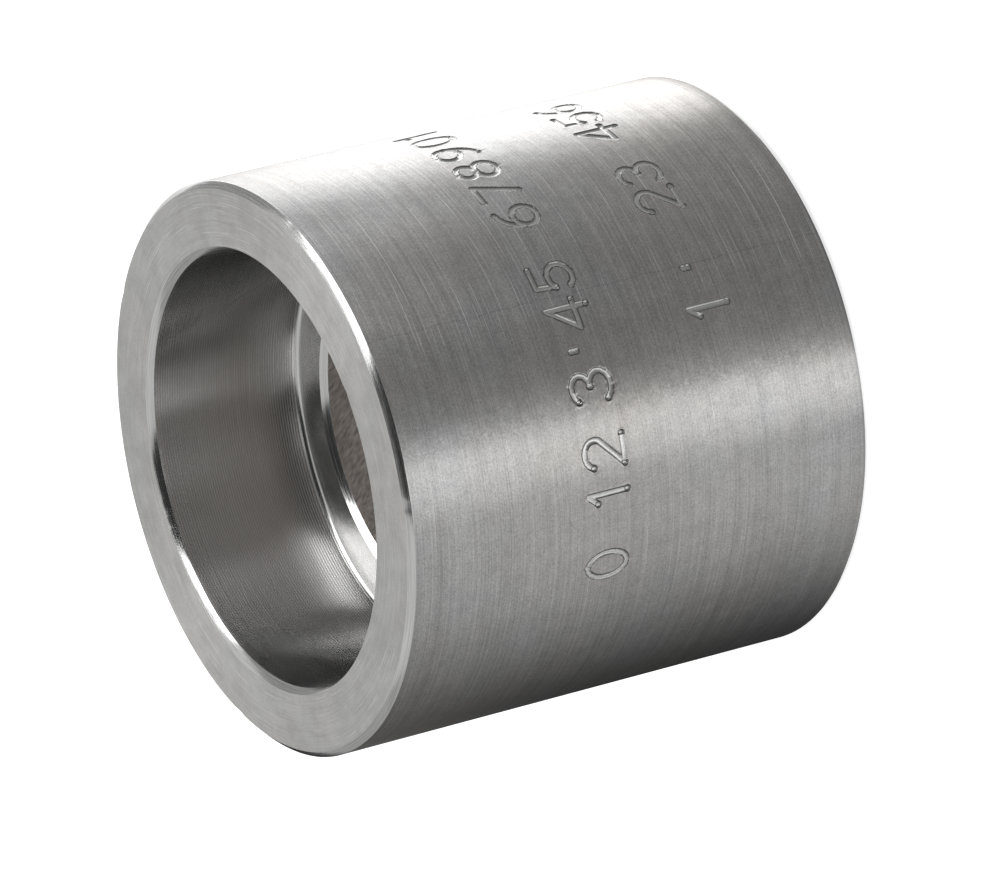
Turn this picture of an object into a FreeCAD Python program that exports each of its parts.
import FreeCAD, Part
import math
import os

# A half coupling: one turned steel fitting that joins a small pipe to the side of a larger
# pipe or vessel. The small pipe is pushed into the socket and welded round the mouth. The
# plain end is set against the wall that it serves and welded there.
# The part stands on its plain end at z = 0, with its axis on Z and the socket open upwards.
# All sizes are in millimetres.

# The pipe that the socket takes
pipe_outer_dia = 33.4
pipe_wall = 3.4

# Socket: its bore is wider than the pipe by the clearance, counted across the diameter
socket_clearance = 0.8
socket_depth = 13.5
socket_corner_radius = 0.4

# Body: the wall round the socket, and the length from the socket's floor to the plain end
socket_wall = 5.5
laying_length = 27.5

# Relief: the shallow cone that leads from the socket's floor down into the flow bore
relief_width = 1.05
relief_depth = 0.2

# Edges, each broken at 45 degrees
mouth_outer_chamfer = 0.5
mouth_inner_chamfer = 0.5
plain_outer_chamfer = 0.5
plain_inner_chamfer = 0.5

# The flow bore is as wide as the pipe inside, so that nothing narrows the flow
bore_radius = pipe_outer_dia / 2 - pipe_wall
socket_radius = (pipe_outer_dia + socket_clearance) / 2
outer_radius = socket_radius + socket_wall
total_length = laying_length + socket_depth

node = "half_coupling"


def point(radius, height):
    """A point of the section, in the XZ plane."""
    return FreeCAD.Vector(radius, 0, height)


def lines(points):
    """Straight edges that join the points one after another."""
    return [Part.LineSegment(a, b).toShape() for a, b in zip(points, points[1:])]


def socket_corner():
    """The quarter round that the tool's nose leaves where the socket's wall meets its floor."""
    centre = point(socket_radius - socket_corner_radius, laying_length + socket_corner_radius)
    on_wall = centre + point(socket_corner_radius, 0)
    middle = centre + point(1, -1) * (socket_corner_radius * math.sqrt(0.5))
    on_floor = centre + point(0, -socket_corner_radius)
    return Part.Arc(on_wall, middle, on_floor).toShape(), on_wall, on_floor


def section():
    """Half of the axial section as a closed face, from the plain end round to the bore."""
    corner, on_wall, on_floor = socket_corner()
    outside = lines([
        point(bore_radius + plain_inner_chamfer, 0),
        point(outer_radius - plain_outer_chamfer, 0),
        point(outer_radius, plain_outer_chamfer),
        point(outer_radius, total_length - mouth_outer_chamfer),
        point(outer_radius - mouth_outer_chamfer, total_length),
        point(socket_radius + mouth_inner_chamfer, total_length),
        point(socket_radius, total_length - mouth_inner_chamfer),
        on_wall,
    ])
    inside = lines([
        on_floor,
        point(bore_radius + relief_width, laying_length),
        point(bore_radius, laying_length - relief_depth),
        point(bore_radius, plain_inner_chamfer),
        point(bore_radius + plain_inner_chamfer, 0),
    ])
    return Part.Face(Part.Wire(outside + [corner] + inside))


def coupling():
    """The section turned once round the axis."""
    axis_point = FreeCAD.Vector(0, 0, 0)
    axis = FreeCAD.Vector(0, 0, 1)
    return Part.Solid(section().revolve(axis_point, axis, 360))


shape = coupling()
os.makedirs("parts", exist_ok=True)
shape.exportStep(os.path.join("parts", node + ".step"))
print(node, "valid", shape.isValid(), "volume", round(shape.Volume, 1), "box", shape.BoundBox)
